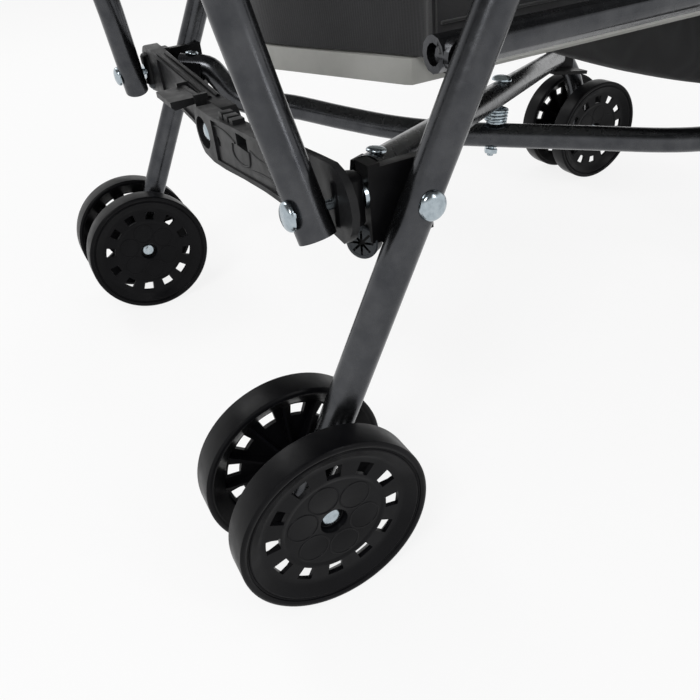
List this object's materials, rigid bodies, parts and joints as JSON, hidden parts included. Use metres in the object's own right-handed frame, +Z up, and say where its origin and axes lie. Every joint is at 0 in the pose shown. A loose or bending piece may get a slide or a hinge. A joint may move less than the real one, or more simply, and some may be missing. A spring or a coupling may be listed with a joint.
{
  "type": "pet stroller",
  "caption": "Folding pet stroller with an umbrella fold: side frames on twin wheels, rear lock brace, crossed tubes, soft cabin with floor trays, and a tilting hood.",
  "frame": {"origin": "middle of the bounding box at floor level", "axes": "+Z up, -Y the way it rolls forward, +Y towards the person pushing, +X its left side"},
  "size_m": [0.5252, 0.9412, 1.0203],
  "materials": {
    "gunmetal": "satin dark grey lacquer on steel tube",
    "zinc": "bright zinc plate",
    "black_plastic": "fine-grained black moulding",
    "wheel_plastic": "black moulding, satin tread",
    "grey_plastic": "dark grey moulding",
    "pale_plastic": "light warm grey moulding",
    "foam": "black foam grip",
    "fabric": "black woven polyester"
  },
  "bodies": {
    "right_frame": {"rear_leg_right": "gunmetal", "front_tube_right": "gunmetal", "grip_right": "foam", "rear_upright_right": "gunmetal", "knuckle_rivet_right": "zinc", "knee_rivet_right": "zinc", "upright_rivet_right": "zinc", "brace_end_rivet_right": "zinc", "side_rail_right": "gunmetal", "knuckle_right": "black_plastic", "axle_rear_right": "zinc", "axle_front_right": "zinc", "tube_guide_right": "black_plastic", "hood_pivot_right": "black_plastic", "cabin_side_right": "fabric", "cabin_rear": "fabric", "cabin_front": "fabric", "cushion": "fabric", "front_pouch": "fabric"},
    "left_frame": {"rear_leg_left": "gunmetal", "front_tube_left": "gunmetal", "grip_left": "foam", "rear_upright_left": "gunmetal", "knuckle_rivet_left": "zinc", "knee_rivet_left": "zinc", "upright_rivet_left": "zinc", "brace_end_rivet_left": "zinc", "side_rail_left": "gunmetal", "knuckle_left": "black_plastic", "axle_rear_left": "zinc", "axle_front_left": "zinc", "tube_guide_left": "black_plastic", "hood_pivot_left": "black_plastic", "cabin_side_left": "fabric"},
    "brace_right": {"brace_right_half": "grey_plastic", "brace_rivet": "zinc"},
    "brace_left": {"brace_left_half": "grey_plastic"},
    "pedal": {"lock_pedal": "grey_plastic"},
    "cross_right": {"cross_tube_straight": "gunmetal", "yoke_right": "black_plastic", "yoke_pin_right": "zinc", "crossing_head": "zinc"},
    "cross_left": {"cross_tube_bowed": "gunmetal", "yoke_left": "black_plastic", "yoke_pin_left": "zinc", "crossing_bolt": "zinc", "crossing_spring": "zinc"},
    "tray_right": {"floor_tray_right": "pale_plastic"},
    "tray_left": {"floor_tray_left": "pale_plastic"},
    "hood": {"hood": "fabric"},
    "rear_right_outer": {"wheel_rear_right_outer": "wheel_plastic"},
    "rear_right_inner": {"wheel_rear_right_inner": "wheel_plastic"},
    "rear_left_outer": {"wheel_rear_left_outer": "wheel_plastic"},
    "rear_left_inner": {"wheel_rear_left_inner": "wheel_plastic"},
    "front_right_outer": {"wheel_front_right_outer": "wheel_plastic"},
    "front_right_inner": {"wheel_front_right_inner": "wheel_plastic"},
    "front_left_outer": {"wheel_front_left_outer": "wheel_plastic"},
    "front_left_inner": {"wheel_front_left_inner": "wheel_plastic"}
  },
  "joints": [
    {"name": "fold", "type": "hinge", "parent": "right_frame", "child": "brace_right", "pos_m": [-0.203, 0.16137, 0.238], "axis": [0, -1, 0], "range_deg": [0, 73.29], "deforming": ["cabin_rear", "cabin_front", "cushion", "front_pouch", "hood"]},
    {"name": "brace_middle", "type": "hinge", "parent": "brace_right", "child": "brace_left", "pos_m": [0, 0.16137, 0.229], "axis": [0, -1, 0], "range_deg": [-146.6, 0]},
    {"name": "brace_left_end", "type": "hinge", "parent": "brace_left", "child": "left_frame", "pos_m": [0.203, 0.16137, 0.238], "axis": [0, -1, 0], "range_deg": [0, 73.3]},
    {"name": "pedal_press", "type": "hinge", "parent": "brace_left", "child": "pedal", "pos_m": [0.0495, 0.15197, 0.246], "axis": [-1, 0, 0], "range_deg": [0, 18], "stiffness_Nm_per_rad": 0.06, "springref_deg": -11.46},
    {"name": "straight_tube_swing", "type": "hinge", "parent": "right_frame", "child": "cross_right", "pos_m": [-0.178, 0.11257, 0.239], "axis": [0, 0.1625, -0.9867], "range_deg": [0, 29.09]},
    {"name": "bowed_tube_swing", "type": "hinge", "parent": "left_frame", "child": "cross_left", "pos_m": [0.178, 0.11257, 0.239], "axis": [0, -0.1625, 0.9867], "range_deg": [0, 29.09]},
    {"name": "tray_right_lift", "type": "hinge", "parent": "right_frame", "child": "tray_right", "pos_m": [-0.169, 0.19857, 0.2855], "axis": [0, -1, 0], "range_deg": [0, 88.1]},
    {"name": "tray_left_lift", "type": "hinge", "parent": "left_frame", "child": "tray_left", "pos_m": [0.169, 0.19857, 0.2855], "axis": [0, 1, 0], "range_deg": [0, 88.1]},
    {"name": "hood_tilt", "type": "hinge", "parent": "right_frame", "child": "hood", "pos_m": [0, 0.00257, 0.592], "axis": [-1, 0, 0], "range_deg": [0, 38]},
    {"name": "rear_right_outer_spin", "type": "hinge", "parent": "right_frame", "child": "rear_right_outer", "pos_m": [-0.2511, 0.19857, 0.0625], "axis": [1, 0, 0], "continuous": true},
    {"name": "rear_right_inner_spin", "type": "hinge", "parent": "right_frame", "child": "rear_right_inner", "pos_m": [-0.1917, 0.19857, 0.0625], "axis": [1, 0, 0], "continuous": true},
    {"name": "rear_left_outer_spin", "type": "hinge", "parent": "left_frame", "child": "rear_left_outer", "pos_m": [0.2511, 0.19857, 0.0625], "axis": [1, 0, 0], "continuous": true},
    {"name": "rear_left_inner_spin", "type": "hinge", "parent": "left_frame", "child": "rear_left_inner", "pos_m": [0.1917, 0.19857, 0.0625], "axis": [1, 0, 0], "continuous": true},
    {"name": "front_right_outer_spin", "type": "hinge", "parent": "right_frame", "child": "front_right_outer", "pos_m": [-0.2227, -0.40743, 0.0625], "axis": [1, 0, 0], "continuous": true},
    {"name": "front_right_inner_spin", "type": "hinge", "parent": "right_frame", "child": "front_right_inner", "pos_m": [-0.1633, -0.40743, 0.0625], "axis": [1, 0, 0], "continuous": true},
    {"name": "front_left_outer_spin", "type": "hinge", "parent": "left_frame", "child": "front_left_outer", "pos_m": [0.2227, -0.40743, 0.0625], "axis": [1, 0, 0], "continuous": true},
    {"name": "front_left_inner_spin", "type": "hinge", "parent": "left_frame", "child": "front_left_inner", "pos_m": [0.1633, -0.40743, 0.0625], "axis": [1, 0, 0], "continuous": true}
  ],
  "couplings": [
    {"joint": "brace_middle", "follows": "fold", "ratio": -2},
    {"joint": "brace_left_end", "follows": "fold", "ratio": 1},
    {"joint": "straight_tube_swing", "follows": "fold", "ratio": 0.3962},
    {"joint": "bowed_tube_swing", "follows": "fold", "ratio": 0.3962},
    {"joint": "tray_right_lift", "follows": "fold", "ratio": 1.2008},
    {"joint": "tray_left_lift", "follows": "fold", "ratio": 1.2008}
  ]
}
